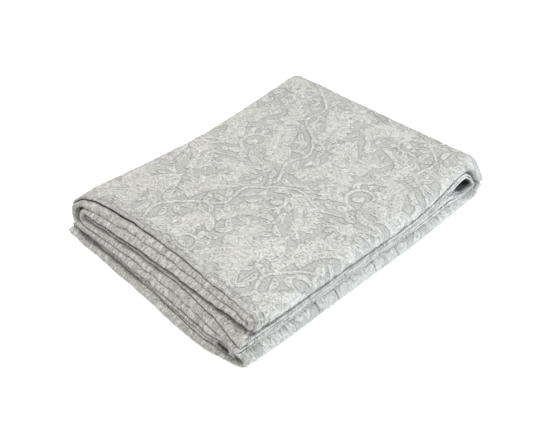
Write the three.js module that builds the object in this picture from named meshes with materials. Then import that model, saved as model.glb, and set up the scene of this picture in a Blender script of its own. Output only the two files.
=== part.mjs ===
import * as THREE from "three";

// A woven throw, about 1.55 m by 1.48 m, folded into a flat stack.
// The cloth is folded in half twice across its length, which makes a compound of four sheets with
// its hems at one end. The compound is then turned over and over into five panels.
// Millimetres, +Z up, underside on z = 0. X runs from the open end, where the hems lie, to the
// folded end. Y runs from the front side to the left side, where the widest turn is.

const STACK = { length: 400, width: 302 };
const SHEET = { thick: 2.3, pitch: 2.6 };
const PANEL_PITCH = 10.55; // from the middle of one compound to the middle of the next

const OUTER = 1.5 * SHEET.pitch; // the outer pair of sheets, from the compound's middle
const INNER = 0.5 * SHEET.pitch;
const HALF_COMPOUND = OUTER + SHEET.thick / 2;
const UNDERSIDE = 0.5 - HALF_COMPOUND / PANEL_PITCH; // the table, as a level in the pressed stack
const FRONT = -STACK.width / 2;
const LEFT = STACK.width / 2;

// Where the turns and the free edges reach, along Y
const SIDES = {
  topTurn: FRONT, // first panel to second, at the front
  bottomTurn: FRONT - 4, // fifth panel to fourth, at the front
  hemmedSide: FRONT + 2, // free side of the third panel, at the front
  wideTurn: LEFT, // fourth panel to first, at the left
  innerTurn: LEFT - 17, // second panel to third, inside the wide turn
  looseSide: LEFT - 2, // free side of the bottom panel, at the left
};

// Where the panels' open ends lie along X, from the front to the left. The top panel is the first.
const OPEN_ENDS = [
  { y: FRONT, fifth: -199, fourth: -204, third: -205, second: -185, first: -182 },
  { y: -95, fifth: -209, fourth: -201, third: -195, second: -184, first: -179 },
  { y: 0, fifth: -202, fourth: -194, third: -187, second: -181, first: -172 },
  { y: 112, fifth: -195, fourth: -190, third: -188, second: -184, first: -175 },
  { y: LEFT, fifth: -193, fourth: -189, third: -188, second: -188, first: -188 },
];

// Where their folded ends lie
const FOLDED_ENDS = [
  { y: FRONT, fifth: 197, fourth: 205, third: 209, second: 203, first: 191 },
  { y: -95, fifth: 193, fourth: 198, third: 202, second: 198, first: 192 },
  { y: 0, fifth: 194, fourth: 198, third: 199, second: 197, first: 191.5 },
  { y: 112, fifth: 192, fourth: 195, third: 196, second: 195, first: 192 },
  { y: LEFT, fifth: 190, fourth: 192, third: 193, second: 192, first: 190 },
];
const PANELS = ["fifth", "fourth", "third", "second", "first"]; // from the table up

// How high the stack lies at its left side, and where its two long sides run
const LEFT_LIE = [
  { x: -200, top: 49, frontShift: 2, leftShift: 0 },
  { x: -150, top: 49.5, frontShift: 0, leftShift: 3 },
  { x: -100, top: 50, frontShift: 0, leftShift: -1 },
  { x: 0, top: 51, frontShift: 0, leftShift: -4 },
  { x: 75, top: 53, frontShift: 0.5, leftShift: 1 },
  { x: 190, top: 56, frontShift: 6.5, leftShift: 13 },
];

// Heights along the front: the second panel's top, both faces of the slit in the third panel, the
// third panel's top, the foot of the roll over it, and the top of the stack
const FRONT_LIE = [
  { x: -200, second: 19, slitUnder: 24, slitOver: 24, third: 30, roll: 37, top: 55 },
  { x: -100, second: 21.5, slitUnder: 27, slitOver: 27, third: 33, roll: 34, top: 54 },
  { x: -20, second: 22, slitUnder: 28, slitOver: 28, third: 34, roll: 34.5, top: 55 },
  { x: 50, second: 19.5, slitUnder: 24.5, slitOver: 25.5, third: 33, roll: 33.5, top: 55 },
  { x: 100, second: 17, slitUnder: 21, slitOver: 26, third: 35, roll: 35.5, top: 56 },
  { x: 135, second: 15, slitUnder: 19, slitOver: 30, third: 39, roll: 39.5, top: 56.5 },
  { x: 170, second: 14, slitUnder: 18, slitOver: 36, third: 44.5, roll: 45, top: 58 },
  { x: 200, second: 14, slitUnder: 18, slitOver: 36, third: 44.5, roll: 45, top: 58 },
];
const FRONT_REACH = 115; // how far inward the front's own lie is felt
const CROWN = 2.5; // the middle of the stack stands a little proud of its sides

// Each hem at the open end is set back or stands out a little, in a slow wave along the panel
const HEM_WAVES = {
  firstHem: { back: 1.5, wave: 1.6, turns: 3.2, start: 0.4 },
  secondHem: { back: 3.5, wave: 1.3, turns: 4.1, start: 2.1 },
  nearFold: { back: -1.5, wave: 1.2, turns: 3.7, start: 4.0 },
};

// Steps of the mesh
const PANEL_STOPS = [-122, -95, -65, -35, 55]; // along Y, shared by every panel
const SHEET_STOPS = [-155, -80, -10, 60, 105, 136, 158, 177]; // along X, shared by every sheet
const STEPS = { wideTurn: 8, turn: 6, outerWrap: 5, innerWrap: 4, nearFold: 4 };

const clamp = (v) => Math.min(1, Math.max(0, v));
const smooth = (v) => clamp(v) ** 2 * (3 - 2 * clamp(v));
const lerp = (a, b, f) => a + (b - a) * f;

// A smooth curve through a list of places and values
function curve(places, values, at) {
  const last = places.length - 1;
  const v = Math.min(places[last], Math.max(places[0], at));
  const i = Math.max(0, places.findIndex((place) => v <= place) - 1);
  const slope = (k) => {
    const a = Math.max(0, k - 1);
    const b = Math.min(last, k + 1);
    return (values[b] - values[a]) / (places[b] - places[a]);
  };
  const gap = places[i + 1] - places[i];
  const f = (v - places[i]) / gap;
  const bend = (slope(i) * (1 - f) - slope(i + 1) * f) * gap * f * (1 - f);
  const rise = (values[i + 1] - values[i]) * f * (1 - f) * (2 * f - 1);
  return lerp(values[i], values[i + 1], f) + rise + bend;
}

// A value from one named column of a table, at a place along its first column
function fromTable(table, name, at) {
  const [place] = Object.keys(table[0]);
  return curve(table.map((row) => row[place]), table.map((row) => row[name]), at);
}

// Where the panels' ends lie at a height in the pressed stack, counted in panels from the table
function endAt(table, y, level) {
  const values = PANELS.map((name) => fromTable(table, name, y));
  if (Math.abs(level - 3) < 0.5) return level < 3 ? values[2] : values[3]; // these two slide apart
  const at = Math.min(3.999, Math.max(0, level - 0.5));
  const row = Math.floor(at);
  return lerp(values[row], values[row + 1], at - row);
}

// The section of the panels in Y and Z, as a row of stations along the cloth's width
function sectionStations() {
  const stations = [];
  const half = HALF_COMPOUND;
  const small = PANEL_PITCH / 2;
  const wide = PANEL_PITCH * 1.5;
  const centre = {
    bottomTurn: SIDES.bottomTurn + small + half,
    wideTurn: SIDES.wideTurn - wide - half,
    topTurn: SIDES.topTurn + small + half,
    innerTurn: SIDES.innerTurn - small - half,
  };
  const flat = (from, to, level) => {
    const way = Math.sign(to - from);
    const stops = [from, ...PANEL_STOPS.filter((y) => (y - from) * way > 8 && (to - y) * way > 8)
      .sort((p, q) => (p - q) * way), to];
    for (const y of stops)
      stations.push({ y, level, ny: 0, nz: -way, panel: Math.ceil(level) });
  };
  const turn = (y, level, radius, side, up, steps) => {
    stations.pop(); // the panel's last station is the turn's first
    for (let i = 0; i <= steps; i++) {
      const angle = (Math.PI * i) / steps;
      stations.push({
        y: y + side * radius * Math.sin(angle),
        level: level - (up * radius * Math.cos(angle)) / PANEL_PITCH,
        ny: up * Math.sin(angle),
        nz: -side * Math.cos(angle),
        panel: 0,
      });
    }
    stations.pop(); // and its last is the next panel's first
  };
  flat(SIDES.looseSide, centre.bottomTurn, 0.5);
  turn(centre.bottomTurn, 1, small, -1, 1, STEPS.turn);
  flat(centre.bottomTurn, centre.wideTurn, 1.5);
  turn(centre.wideTurn, 3, wide, 1, 1, STEPS.wideTurn);
  flat(centre.wideTurn, centre.topTurn, 4.5);
  turn(centre.topTurn, 4, small, -1, -1, STEPS.turn);
  flat(centre.topTurn, centre.innerTurn, 3.5);
  turn(centre.innerTurn, 3, small, 1, -1, STEPS.turn);
  flat(centre.innerTurn, SIDES.hemmedSide, 2.5);
  let run = 0;
  stations.forEach((s, i) => {
    const before = stations[Math.max(0, i - 1)];
    run += Math.hypot(s.y - before.y, (s.level - before.level) * PANEL_PITCH);
    s.run = run;
  });
  return stations;
}

// The four sheets of the compound, as a row of stations along the cloth's length.
// Each has its place q across the compound, the way its outer face points, and where it is along X:
// either a stop on the way from an end to the fold's middle, or an angle round a fold.
function sheetStations() {
  const stations = [];
  const sheet = (edge, side, reach, outward, toFold) => {
    const places = [null, ...SHEET_STOPS, Infinity];
    for (const stop of toFold ? places : places.reverse())
      stations.push({ kind: "sheet", edge, side, reach, outward, stop, way: toFold ? 1 : -1 });
  };
  const round = (kind, steps) => {
    stations.pop();
    for (let i = 0; i < steps; i++)
      stations.push({ kind, angle: (Math.PI * i) / steps, way: 2 * i + 1 < steps ? 1 : -1 });
  };
  sheet("firstHem", 1, OUTER, 1, true);
  round("outerWrap", STEPS.outerWrap);
  sheet("nearFold", -1, OUTER, 1, false);
  round("nearFold", STEPS.nearFold);
  sheet("nearFold", -1, INNER, -1, true);
  round("innerWrap", STEPS.innerWrap);
  sheet("secondHem", 1, INNER, -1, false);
  return stations;
}

// One point of the cloth: a station across, a station along, and an offset n from its middle
function clothPoint(section, along, n) {
  const { ny, nz, run, panel } = section;
  const hemWave = (name) => {
    const { back, wave, turns, start } = HEM_WAVES[name];
    return back + wave * Math.sin((run / 300) * turns + start);
  };
  const place = (q) => ({
    y: section.y + q * ny,
    level: section.level + (q * nz) / PANEL_PITCH,
  });
  let q, x, over;
  if (along.kind === "sheet") {
    q = along.side * (along.reach + along.outward * n);
    const at = place(q);
    const fold = endAt(FOLDED_ENDS, at.y, at.level) - HALF_COMPOUND;
    const edge = endAt(OPEN_ENDS, at.y, at.level) + hemWave(along.edge) + (along.edge === "nearFold" ? INNER : 0);
    x = along.stop === null ? edge : along.stop === Infinity ? fold : along.stop;
    over = along.side > 0 ? 1 : 0;
  } else if (along.kind === "nearFold") {
    q = -SHEET.pitch - (INNER + n) * Math.cos(along.angle);
    const at = place(q);
    x = endAt(OPEN_ENDS, at.y, at.level) + hemWave("nearFold") + INNER - (INNER + n) * Math.sin(along.angle);
    over = 0;
  } else {
    const outer = along.kind === "outerWrap";
    const radius = outer ? OUTER + n : INNER - n;
    q = (outer ? 1 : -1) * radius * Math.cos(along.angle);
    const at = place(q);
    x = endAt(FOLDED_ENDS, at.y, at.level) - HALF_COMPOUND + radius * Math.sin(along.angle);
    over = 0.5 + (outer ? 0.5 : -0.5) * Math.cos(along.angle);
  }
  const { y, level } = place(q);
  return settle(x, y, level, panel === 3 ? over : level > 2.5 ? 1 : 0);
}

// From the evenly layered stack to the way it lies. Over is 1 above the slit and 0 under it.
function settle(x, y, pressed, over) {
  const level = pressed - UNDERSIDE;
  const lie = (name) => fromTable(FRONT_LIE, name, x);
  const under = level < 2 ? lerp(0, lie("second"), level / 2)
    : lerp(lie("second"), lie("slitUnder"), (level - 2) * 2);
  const above = level > 3 ? lerp(lie("roll"), lie("top"), (level - 3) / 2)
    : lerp(lie("slitOver"), lie("third"), (level - 2.5) * 2);
  const b = (y - FRONT) / STACK.width;
  const evenly = lerp(lie("top"), fromTable(LEFT_LIE, "top", x), smooth(b));
  const crown = CROWN * Math.sin(Math.PI * clamp(b)) * Math.cos((Math.PI * x) / STACK.length / 1.1);
  const z = lerp(lerp(under, above, over), ((evenly + crown) * level) / 5, smooth((y - FRONT) / FRONT_REACH));
  const shift = lerp(fromTable(LEFT_LIE, "frontShift", x), fromTable(LEFT_LIE, "leftShift", x), clamp(b));
  return new THREE.Vector3(x, y + shift, z);
}

// The cloth as one closed shell: both faces on the same grid of stations, joined round the four edges
function clothGeometry() {
  const rows = sectionStations();
  const columns = sheetStations();
  const positions = [];
  for (const n of [SHEET.thick / 2, -SHEET.thick / 2])
    for (const row of rows)
      for (const column of columns) positions.push(...clothPoint(row, column, n).toArray());
  const count = rows.length * columns.length;
  const at = (face, i, j) => face * count + i * columns.length + j;
  const index = [];
  const quad = (a, b, c, d) => index.push(a, b, c, a, c, d);
  // Both faces, and every sheet over and under them, are split along the same diagonal seen from above
  const patch = (a, b, c, d, sameWay) => (sameWay ? quad(a, b, c, d) : quad(b, c, d, a));
  for (let i = 0; i + 1 < rows.length; i++)
    for (let j = 0; j + 1 < columns.length; j++) {
      const sameWay = (rows[i + 1].y - rows[i].y) * columns[j].way > 0;
      patch(at(0, i, j), at(0, i + 1, j), at(0, i + 1, j + 1), at(0, i, j + 1), sameWay);
      patch(at(1, i, j), at(1, i, j + 1), at(1, i + 1, j + 1), at(1, i + 1, j), sameWay);
    }
  const lastRow = rows.length - 1;
  const lastColumn = columns.length - 1;
  for (let j = 0; j < lastColumn; j++) {
    quad(at(0, 0, j), at(0, 0, j + 1), at(1, 0, j + 1), at(1, 0, j));
    quad(at(0, lastRow, j), at(1, lastRow, j), at(1, lastRow, j + 1), at(0, lastRow, j + 1));
  }
  for (let i = 0; i < lastRow; i++) {
    quad(at(0, i, 0), at(1, i, 0), at(1, i + 1, 0), at(0, i + 1, 0));
    quad(at(0, i, lastColumn), at(0, i + 1, lastColumn), at(1, i + 1, lastColumn), at(1, i, lastColumn));
  }
  const geometry = new THREE.BufferGeometry();
  geometry.setAttribute("position", new THREE.BufferAttribute(new Float32Array(positions), 3));
  geometry.setIndex(index);
  geometry.computeBoundingBox();
  const middle = geometry.boundingBox.getCenter(new THREE.Vector3());
  return geometry.translate(-middle.x, -middle.y, -geometry.boundingBox.min.z);
}

const washedCotton = new THREE.MeshStandardMaterial({ color: 0xc7c7c2, roughness: 0.95, metalness: 0 });

const blanket = new THREE.Mesh(clothGeometry(), washedCotton);
blanket.name = "folded_blanket";

const part = new THREE.Group();
part.add(blanket);

export default part;
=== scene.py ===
"""A folded throw blanket: one washed cotton cloth, cut flat and folded into its stack"""

import math

import bmesh
import bpy
import numpy as np
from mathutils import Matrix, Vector


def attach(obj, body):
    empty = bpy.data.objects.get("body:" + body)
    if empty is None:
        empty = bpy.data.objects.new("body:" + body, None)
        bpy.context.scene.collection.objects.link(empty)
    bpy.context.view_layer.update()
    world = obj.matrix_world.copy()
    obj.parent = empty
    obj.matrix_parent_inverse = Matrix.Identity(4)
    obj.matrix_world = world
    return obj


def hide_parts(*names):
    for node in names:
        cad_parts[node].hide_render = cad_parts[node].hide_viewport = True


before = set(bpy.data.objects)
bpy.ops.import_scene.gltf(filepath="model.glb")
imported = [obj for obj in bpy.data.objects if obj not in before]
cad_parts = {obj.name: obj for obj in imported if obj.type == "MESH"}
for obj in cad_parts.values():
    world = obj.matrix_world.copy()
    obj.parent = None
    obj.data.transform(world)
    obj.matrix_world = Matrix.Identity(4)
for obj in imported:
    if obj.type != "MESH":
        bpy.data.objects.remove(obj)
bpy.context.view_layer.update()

bl_info = {
    "name": "Folded Throw Blanket",
    "version": (1, 0, 0),
    "blender": (4, 5, 0),
    "location": "View3D > Sidebar > Throw",
    "description": "Cuts a woven cotton throw flat, folds it into its stack and finishes the cloth",
    "category": "Object",
}

# The fold, in millimetres, with the same named values as the part's source.
# X runs from the open end to the folded end, Y from the front side to the left side.
# A level counts the pressed stack in panels, from the table up.
THICK = 2.3  # one sheet of cloth
PITCH = 2.6  # from one sheet to the next in a panel
PANEL_PITCH = 10.55
PANELS = 5
OUTER = 1.5 * PITCH
INNER = 0.5 * PITCH
HALF_COMPOUND = OUTER + THICK / 2
UNDERSIDE = 0.5 - HALF_COMPOUND / PANEL_PITCH
LENGTH = 400.0
WIDTH = 302.0
FRONT = -WIDTH / 2
LEFT = WIDTH / 2
MIDDLE = (-1.1772, 4.3287)  # the middle of the stack's box, which stands over the origin

SIDES = {
    "top_turn": FRONT,
    "bottom_turn": FRONT - 4,
    "hemmed_side": FRONT + 2,
    "wide_turn": LEFT,
    "inner_turn": LEFT - 17,
    "loose_side": LEFT - 2,
}

# Where the ends of the five panels lie along X, from the front to the left, from the table up
END_PLACES = (FRONT, -95, 0, 112, LEFT)
OPEN_ENDS = (
    (-199, -209, -202, -195, -193),
    (-202, -201, -194, -190, -189),
    (-205, -195, -187, -188, -188),
    (-185, -184, -181, -184, -188),
    (-182, -179, -172, -175, -188),
)
FOLDED_ENDS = (
    (194, 193, 194, 192, 190),
    (202, 198, 198, 195, 192),
    (207, 202, 199, 196, 193),
    (211, 200, 197, 195, 192),
    (194, 192, 191.5, 192, 190),
)

# How the layers lie along the left side and the front side: their heights, and how far they slide
LEFT_PLACES = (-200, -150, -100, 0, 75, 190)
LEFT_LIE = {
    "top": (49, 49.5, 50, 51, 53, 56),
    "front_shift": (2, 0, 0, 0, 0.5, 6.5),
    "left_shift": (0, 3, -1, -4, 1, 13),
}
FRONT_PLACES = (-200, -100, -20, 50, 100, 138, 148, 158, 168, 178, 190, 195, 200, 206)
FRONT_LIE = {
    "second": (19.5, 21.5, 22, 19.5, 17, 15, 14, 13, 11.5, 10, 10, 13.5, 18, 18.5),
    "slit_under": (26, 27, 28, 26, 27.5, 30.2, 25.5, 20, 16.3, 13.2, 12.5, 14.5, 18.2, 18.6),
    "slit_over": (26, 27, 28, 26.5, 28.5, 32, 35.4, 37.5, 38.2, 35, 25, 18.5, 18.3, 18.7),
    "third": (33.6, 33.5, 34, 33, 35.3, 41.5, 45, 47, 45.8, 41, 31, 24, 18.4, 18.8),
    "roll": (36.5, 34.2, 34.5, 33.6, 37.6, 48, 52, 53.3, 51.4, 46.5, 33, 24, 16.5, 15.5),
    "top": (55, 54, 55, 55, 56, 56.6, 57.2, 57.6, 58, 58, 58, 58, 58, 58),
}
FRONT_REACH = 115.0  # the front side's lie passes into the left side's over this width
PUFF_START, PUFF_REACH = 4.0, 35.0  # behind the front, the lower panels puff up to the roll

# At the folded end's front corner the lower layers are pushed forward and pressed together
CORNER_X, CORNER_RUN, CORNER_WIDTH, CORNER_PUSH = 188.0, 10.0, 30.0, 10.0
CORNER_LEVEL, CORNER_SPREAD = 2.5, 0.8
PRESSED_WIDTH, PRESSED_REACH, PRESSED = 45.0, 35.0, 0.65

# The third panel's two sheets stand apart there, round a hollow set back from the end
HOLLOW_BACK, HOLLOW_REACH, HOLLOW_RUN = 28.0, 20.0, 120.0
FLARE_START, FLARE_WIDTH = 70.0, 55.0

# Small dark pockets between the lower panels, at the open end near its front corner:
# where each lies across, its height, its radius and how far it reaches in
POCKETS = ((-121.0, 10.8, 6.6, 34.0), (-140.5, 10.8, 4.2, 24.0))
POCKET_MOUTH = -195.0
POCKET_STRETCH = 1.15

# Short creases across the lower panels' turn at the front: where each lies along X
CREASES = (-70.0, -99.0, -8.0, 31.0)
CREASE_LEAN, CREASE_WIDTH, CREASE_DEPTH = 0.25, 1.3, 1.1

# How far each edge at the open end is set back, and its slow wave: height, turns and start
HEM_WAVES = {
    "first_hem": (1.5, 1.6, 3.2, 0.4),
    "second_hem": (9.5, 1.3, 4.1, 2.1),
    "near_fold": (-1.5, 1.2, 3.7, 4.0),
}
WAVE_WIDTH = 300.0
# The small ruffles in each edge: width, row, height and seed step
RUFFLES = ((16.0, 0.3, 1.0, 0), (6.5, 0.7, 0.5, 5))

# The near folds swell into drops, and the hems are thick and droop a little towards them
FOLD_LIFT, FOLD_RUN = 0.45, 10.0
HEM_DROOP, HEM_RUN = 0.35, 7.0
PLUMP = ((19.0, 0.5, 0.32, 0), (8.0, 0.2, 0.08, 1))
# Both swell more where the top panel turns under at the front: how much more, and how far
FOLD_TURN_SWELL, FOLD_TURN_RUN = 1.3, 26.0
HEM_TURN_SWELL, HEM_TURN_RUN = 0.5, 40.0

# Soft lumps over the stack: how wide they are along it and across it, and how high
STACK_LUMPS = (75.0, 60.0, 0.8)
# At the open end the sheets ripple: width, rows in a panel, height and seed step
MOUTH_START, MOUTH_RUN = -150.0, 30.0
MOUTH_RIPPLES = ((19.0, 1.1, 0.9, 0), (8.0, 1.5, 0.5, 1))
# Each soft unevenness draws from its own seed
SEEDS = {
    "stack": 3, "mouth": 4, "small_leaves": 7, "pucker": 11, "nub": 13, "slanted_nub": 14,
    "ruffle": 20, "plump_fold": 31, "plump_hem": 33,
}

# The cloth's width, as a row of flat runs and turns: each starts where the last one ends.
# A flat run has its start, its end and its level. A turn has its middle across the stack, its
# level, its radius in panels, the side it bulges to and the way it climbs.
CENTRE = {
    "bottom": SIDES["bottom_turn"] + PANEL_PITCH / 2 + HALF_COMPOUND,
    "wide": SIDES["wide_turn"] - PANEL_PITCH * 1.5 - HALF_COMPOUND,
    "top": SIDES["top_turn"] + PANEL_PITCH / 2 + HALF_COMPOUND,
    "inner": SIDES["inner_turn"] - PANEL_PITCH / 2 - HALF_COMPOUND,
}
SECTION = (
    ("flat", SIDES["loose_side"], CENTRE["bottom"], 0.5),
    ("turn", CENTRE["bottom"], 1, 0.5, -1, 1),
    ("flat", CENTRE["bottom"], CENTRE["wide"], 1.5),
    ("turn", CENTRE["wide"], 3, 1.5, 1, 1),
    ("flat", CENTRE["wide"], CENTRE["top"], 4.5),
    ("turn", CENTRE["top"], 4, 0.5, -1, -1),
    ("flat", CENTRE["top"], CENTRE["inner"], 3.5),
    ("turn", CENTRE["inner"], 3, 0.5, 1, -1),
    ("flat", CENTRE["inner"], SIDES["hemmed_side"], 2.5),
)
# The cloth's length: four sheets, joined by the two wraps at the folded end and the near fold.
# A sheet has its edge at the open end, its side of the compound's middle, how far it lies from
# it, the way its outer face points, and whether it runs from the open end to the folded end.
NEAR_STOP, FAR_STOP = -155.0, 177.0
NEAR_RUN, FAR_RUN = 35.0, 14.0
SHEET_RUN = NEAR_RUN + (FAR_STOP - NEAR_STOP) + FAR_RUN
ALONG = (
    ("sheet", "first_hem", 1, OUTER, 1, True),
    ("outer_wrap",),
    ("sheet", "near_fold", -1, OUTER, 1, False),
    ("near_fold",),
    ("sheet", "near_fold", -1, INNER, -1, True),
    ("inner_wrap",),
    ("sheet", "second_hem", 1, INNER, -1, False),
)


# Where each of them starts, across the cloth and along it
S_RUNS = [
    abs(piece[2] - piece[1]) if piece[0] == "flat" else math.pi * piece[3] * PANEL_PITCH
    for piece in SECTION
]
T_RUNS = [
    SHEET_RUN if piece[0] == "sheet" else math.pi * (OUTER if piece[0] == "outer_wrap" else INNER)
    for piece in ALONG
]
S_STARTS = np.concatenate([[0.0], np.cumsum(S_RUNS)])
T_STARTS = np.concatenate([[0.0], np.cumsum(T_RUNS)])
CLOTH = (float(S_STARTS[-1]), float(T_STARTS[-1]))
FRONT_TURN = (S_STARTS[5] + S_STARTS[6]) / 2  # where the top panel turns under at the front
LOWER_TURN = (S_STARTS[1] + S_STARTS[2]) / 2  # where the bottom panel turns up at the front
OPEN_EDGES = (0.0, (T_STARTS[3] + T_STARTS[4]) / 2, CLOTH[1])  # along the cloth, at the open end


def smooth(v):
    """A soft step from 0 to 1"""
    v = np.clip(v, 0.0, 1.0)
    return v * v * (3 - 2 * v)


def mix(a, b, f):
    """A value between two others"""
    return a + (b - a) * f


def bell(v, power=2):
    """1 at 0, and soon nothing on both sides"""
    return np.exp(-(v**power))


def lumps(u, v, seed):
    """Smooth seeded noise from -1 to 1, with lumps about one unit wide"""
    size = 64
    table = np.random.default_rng(seed).uniform(-1, 1, (size, size))
    u, v = np.broadcast_arrays(np.asarray(u, float), np.asarray(v, float))
    i, j = np.floor(u).astype(int), np.floor(v).astype(int)
    fu, fv = smooth(u - i), smooth(v - j)
    i0, j0, i1, j1 = i % size, j % size, (i + 1) % size, (j + 1) % size
    return mix(mix(table[i0, j0], table[i1, j0], fu), mix(table[i0, j1], table[i1, j1], fu), fv)


def uneven(s, table, seed, level=1.0):
    """Lumps of several widths, from a table of width, row, height and seed step"""
    return sum(height * lumps(s / width, level * row, seed + k) for width, row, height, k in table)


def curve(places, values, at):
    """A smooth curve through a list of places and values"""
    places, values = np.asarray(places, float), np.asarray(values, float)
    last = len(places) - 1
    low = np.maximum(np.arange(last + 1) - 1, 0)
    high = np.minimum(np.arange(last + 1) + 1, last)
    slopes = (values[high] - values[low]) / (places[high] - places[low])
    v = np.clip(at, places[0], places[last])
    i = np.clip(np.searchsorted(places, v) - 1, 0, last - 1)
    gap = places[i + 1] - places[i]
    f = (v - places[i]) / gap
    bend = (slopes[i] * (1 - f) - slopes[i + 1] * f) * gap * f * (1 - f)
    rise = (values[i + 1] - values[i]) * f * (1 - f) * (2 * f - 1)
    return mix(values[i], values[i + 1], f) + rise + bend


def end_at(table, y, level, panel):
    """Where the panels' ends lie at a level; panel 0 is a turn between two panels"""
    turning = panel == 0
    level = np.where(turning, level, np.clip(level, panel - 0.98, panel - 0.02))
    values = np.stack([curve(END_PLACES, row, y) for row in table])
    at = np.clip(level - 0.5, 0.0, PANELS - 1.001)
    row = at.astype(int)
    pick = np.arange(len(y))
    spread = mix(values[row, pick], values[row + 1, pick], at - row)
    # Between the third and fourth panels, which nothing joins there, the end steps
    slide = np.where(turning, smooth((level - 2.7) / 0.6), level > 3)
    return np.where(np.abs(level - 3) < 0.5, mix(values[2], values[3], slide), spread)


def layer_height(x, y, level, over, crown):
    """How high a level lies: by the front side's table in front, and evenly spread behind"""
    lie = {name: curve(FRONT_PLACES, row, x) for name, row in FRONT_LIE.items()}
    left_top = curve(LEFT_PLACES, LEFT_LIE["top"], x)
    under = np.where(
        level < 2,
        lie["second"] * level / 2,
        mix(lie["second"], lie["slit_under"], (level - 2) * 2),
    )
    above = np.where(
        level > 3,
        mix(lie["roll"], lie["top"], (level - 3) / 2),
        mix(lie["slit_over"], lie["third"], (level - 2.5) * 2),
    )
    puff = (lie["roll"] - lie["third"]) * smooth((y - FRONT - PUFF_START) / PUFF_REACH)
    under, above = under + puff * level / 3, above + np.where(level < 3, puff * level / 3, 0)
    b = (y - FRONT) / WIDTH
    evenly = mix(lie["top"], left_top, smooth(b))
    dome = crown * np.sin(math.pi * np.clip(b, 0, 1)) * np.cos(math.pi * x / LENGTH / 1.1)
    behind = (evenly + dome) * level / PANELS
    return mix(mix(under, above, over), behind, smooth((y - FRONT) / FRONT_REACH))


def settle(x, y, pressed, over, panel, settings):
    """From the evenly layered stack to the way it lies"""
    level = pressed - UNDERSIDE
    z = layer_height(x, y, level, over, settings.crown * 1000)
    front_shift, left_shift = (
        curve(LEFT_PLACES, LEFT_LIE[name], x) for name in ("front_shift", "left_shift")
    )
    held = smooth(level / 1.5)  # the bottom panel lies flat on the table
    mouth = smooth((MOUTH_START - x) / MOUTH_RUN) * held
    y = y + mix(front_shift, left_shift, np.clip((y - FRONT) / WIDTH, 0, 1))
    long, wide, height = STACK_LUMPS
    z = z + height * lumps(x / long, y / wide + 9, SEEDS["stack"]) * held * level / PANELS
    corner = smooth((x - CORNER_X) / CORNER_RUN) * smooth((FRONT + CORNER_WIDTH - y) / 20)
    y = y - CORNER_PUSH * corner * (panel != 3) * bell((level - CORNER_LEVEL) / CORNER_SPREAD, 4)
    z = z + mouth * uneven(y, MOUTH_RIPPLES, SEEDS["mouth"], level)
    for middle, height, radius, reach in POCKETS:
        radius = radius * smooth((reach + POCKET_MOUTH - x) / reach)
        dy, dz = (y - middle) / POCKET_STRETCH, z - height
        away = np.hypot(dy, dz) + 1e-6
        pushed = (away**3 + radius**3) ** (1 / 3) / away
        y, z = middle + dy * POCKET_STRETCH * pushed, height + dz * pushed
    return x, y, np.maximum(z, 0)


def section_at(s):
    """The section at a run s: place, level, the way the outer face points, and the panel"""
    y, level = np.zeros_like(s), np.zeros_like(s)
    ny, nz, panel = np.zeros_like(s), np.zeros_like(s), np.zeros(len(s), int)
    which = np.clip(np.searchsorted(S_STARTS, s, side="right") - 1, 0, len(SECTION) - 1)
    for k, piece in enumerate(SECTION):
        m = which == k
        f = (s[m] - S_STARTS[k]) / (S_STARTS[k + 1] - S_STARTS[k])
        if piece[0] == "flat":
            _, start, end, at = piece
            y[m], level[m] = mix(start, end, f), at
            nz[m], panel[m] = -math.copysign(1, end - start), math.ceil(at)
        else:
            _, centre, at, radius, side, up = piece
            a = math.pi * f
            y[m] = centre + side * radius * PANEL_PITCH * np.sin(a)
            level[m] = at - up * radius * np.cos(a)
            ny[m], nz[m] = up * np.sin(a), -side * np.cos(a)
    return y, level, ny, nz, panel


def hem_wave(name, s):
    """How far an edge is set back at a place across the cloth, with its small ruffles"""
    back, wave, turns, start = HEM_WAVES[name]
    seed = SEEDS["ruffle"] + list(HEM_WAVES).index(name)
    return back + wave * np.sin(s / WAVE_WIDTH * turns + start) + uneven(s, RUFFLES, seed)


def flared(s, panel):
    """1 where the third panel's folded end opens round its hollow, at its free side"""
    return np.where(panel == 3, smooth((s - CLOTH[0] + FLARE_START) / FLARE_WIDTH), 0.0)


def puffed(s):
    """How much the near fold is puffed up: most of all where the top panel turns under"""
    more = FOLD_TURN_SWELL * bell((s - FRONT_TURN) / FOLD_TURN_RUN)
    return 1 + uneven(s, PLUMP, SEEDS["plump_fold"]) + more


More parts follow.
